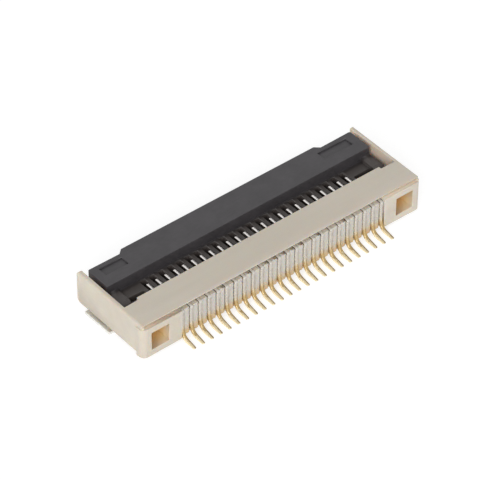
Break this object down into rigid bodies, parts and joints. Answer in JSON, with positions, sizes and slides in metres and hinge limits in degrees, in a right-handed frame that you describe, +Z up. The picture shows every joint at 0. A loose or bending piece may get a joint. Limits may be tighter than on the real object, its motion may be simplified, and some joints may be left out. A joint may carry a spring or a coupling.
{
  "type": "flat cable board connector",
  "caption": "Low surface-mount connector for a flat flexible cable, with a row of stamped contacts and a flip lock that turns up to free the cable.",
  "frame": {"origin": "on the circuit board's surface, under the middle of the part's box", "axes": "+X along the row of contacts, +Y towards the side where the cable goes in, +Z up from the board"},
  "size_m": [0.0162, 0.0056, 0.002],
  "materials": {
    "ivory_plastic": "fine matt moulded liquid-crystal polymer",
    "black_plastic": "matt glass-filled moulding",
    "plated_contact": "stamped copper alloy, gold flash over nickel",
    "tinned_sheet": "tin plated sheet"
  },
  "bodies": {
    "base": {"housing": "ivory_plastic", "hold_down_left": "tinned_sheet", "hold_down_right": "tinned_sheet", "contact_01": "plated_contact", "contact_02": "plated_contact", "contact_03": "plated_contact", "contact_04": "plated_contact", "contact_05": "plated_contact", "contact_06": "plated_contact", "contact_07": "plated_contact", "contact_08": "plated_contact", "contact_09": "plated_contact", "contact_10": "plated_contact", "contact_11": "plated_contact", "contact_12": "plated_contact", "contact_13": "plated_contact", "contact_14": "plated_contact", "contact_15": "plated_contact", "contact_16": "plated_contact", "contact_17": "plated_contact", "contact_18": "plated_contact", "contact_19": "plated_contact", "contact_20": "plated_contact", "contact_21": "plated_contact", "contact_22": "plated_contact", "contact_23": "plated_contact", "contact_24": "plated_contact"},
    "lock": {"actuator": "black_plastic"}
  },
  "joints": [
    {"name": "lock_flip", "type": "hinge", "parent": "base", "child": "lock", "pos_m": [0, 0.00019, 0.00115], "axis": [1, 0, 0], "range_deg": [0, 90]}
  ]
}
